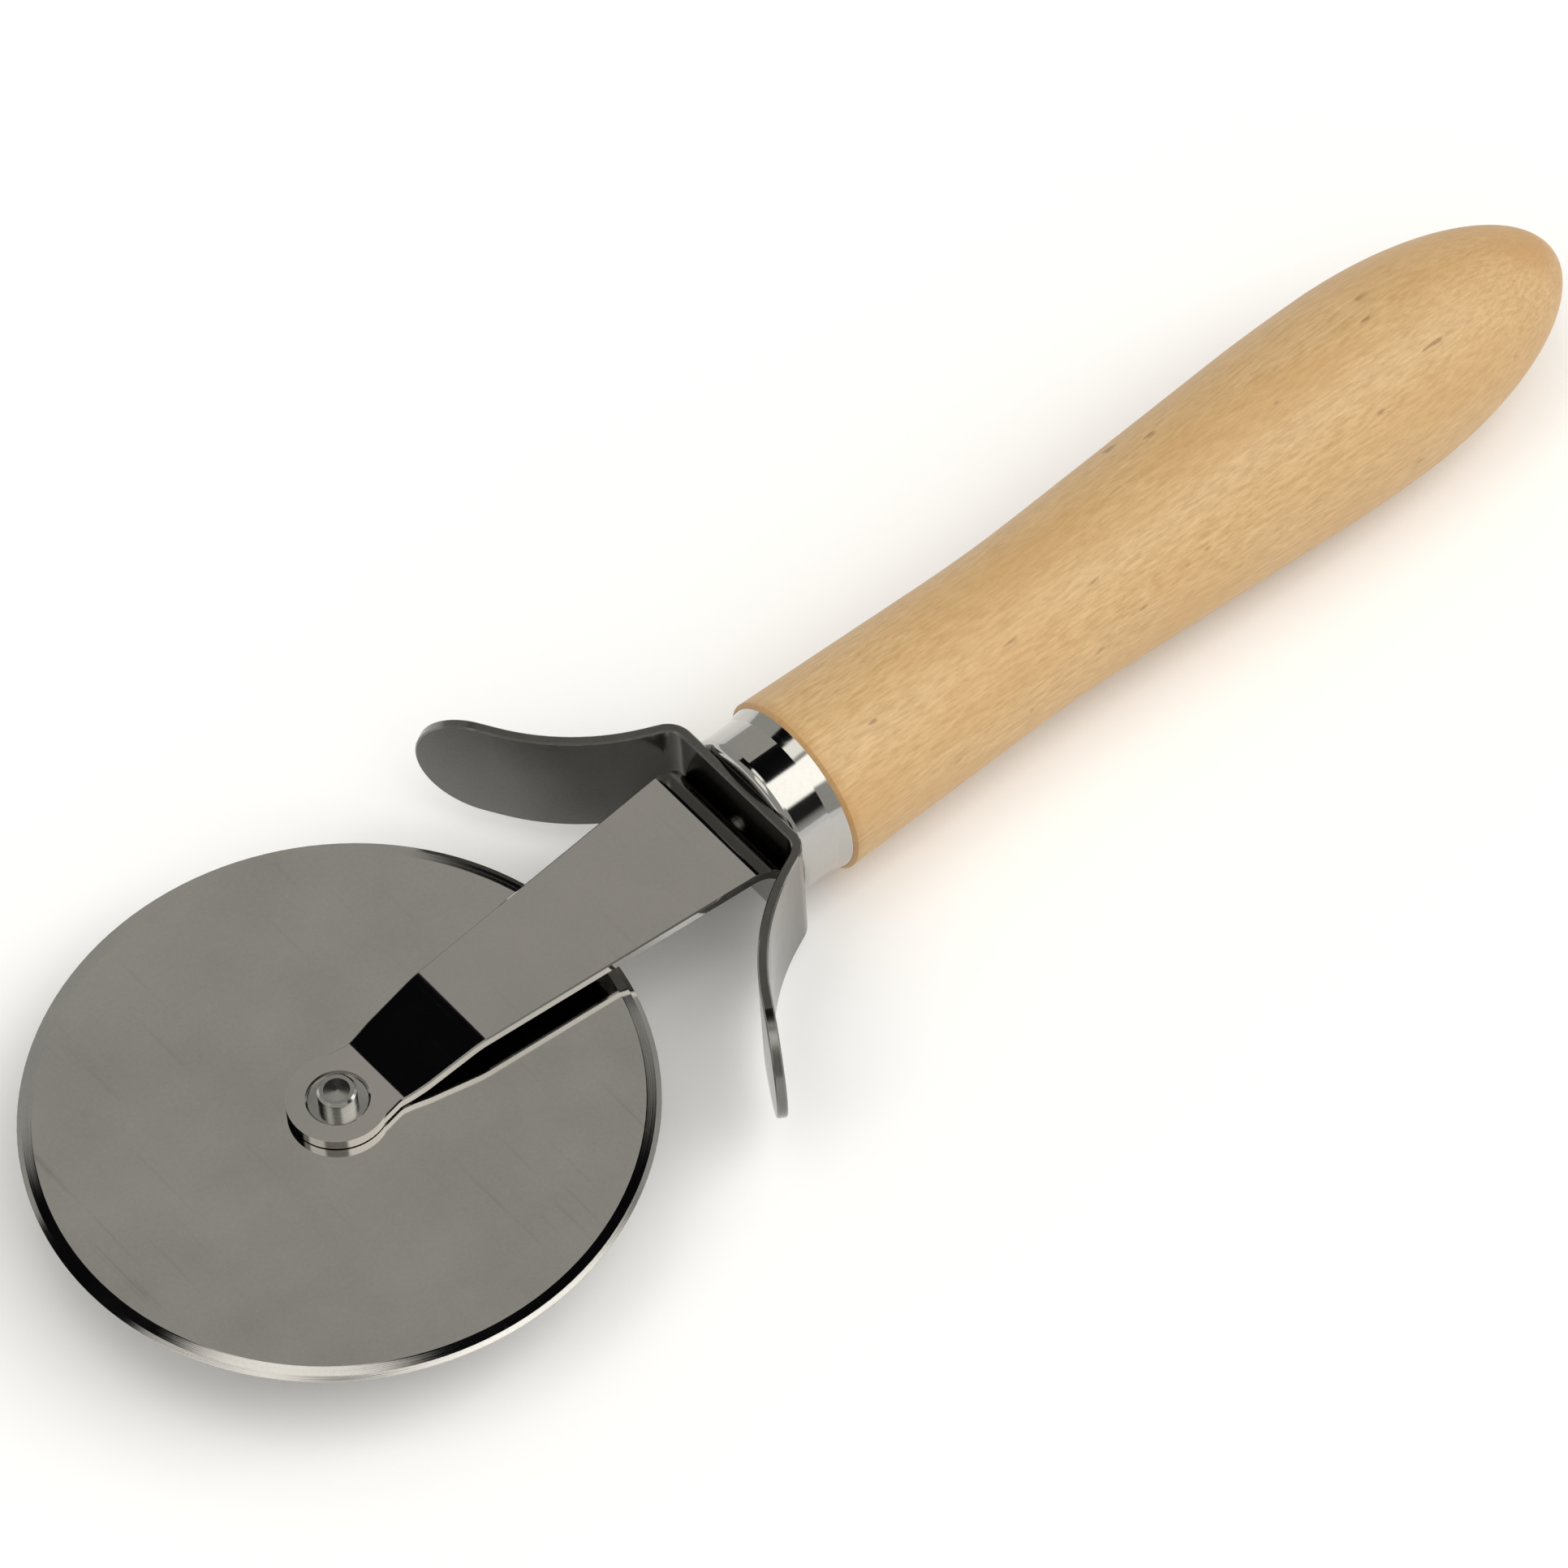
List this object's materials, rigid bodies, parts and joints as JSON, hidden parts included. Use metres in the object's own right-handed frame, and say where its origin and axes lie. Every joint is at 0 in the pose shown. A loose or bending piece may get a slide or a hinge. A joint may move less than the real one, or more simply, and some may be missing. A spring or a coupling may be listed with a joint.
{
  "type": "pizza cutter wheel",
  "caption": "Hand-held pizza cutter: a thin round blade spins on a stud in a bent steel arm, with a swept finger guard, a ferrule and a turned wooden handle.",
  "frame": {"origin": "centre of the tool's length and width, at the height of the lowest point of the handle's belly", "axes": "+X along the tool from the blade to the handle's butt, +Z along the blade's axis towards the arm's side, +Y across the tool; the tool's axis is level at the height of the belly's radius"},
  "size_m": [0.1936, 0.064, 0.0224],
  "materials": {
    "blade_steel": "polished stainless steel, nearly a mirror",
    "stud_steel": "turned stainless steel",
    "arm_steel": "polished stainless steel",
    "guard_steel": "satin stainless steel",
    "ferrule_steel": "polished stainless steel",
    "tang_steel": "plain drawn steel",
    "turned_wood": "pale close-grained hardwood, sealed, satin"
  },
  "bodies": {
    "frame": {"axle_stud": "stud_steel", "arm_bracket": "arm_steel", "finger_guard": "guard_steel", "ferrule": "ferrule_steel", "tang": "tang_steel", "handle": "turned_wood"},
    "wheel": {"wheel_blade": "blade_steel"}
  },
  "joints": [
    {"name": "wheel_spin", "type": "hinge", "parent": "frame", "child": "wheel", "pos_m": [-0.06482, 0, 0.0112], "axis": [0, 0, 1], "continuous": true}
  ]
}
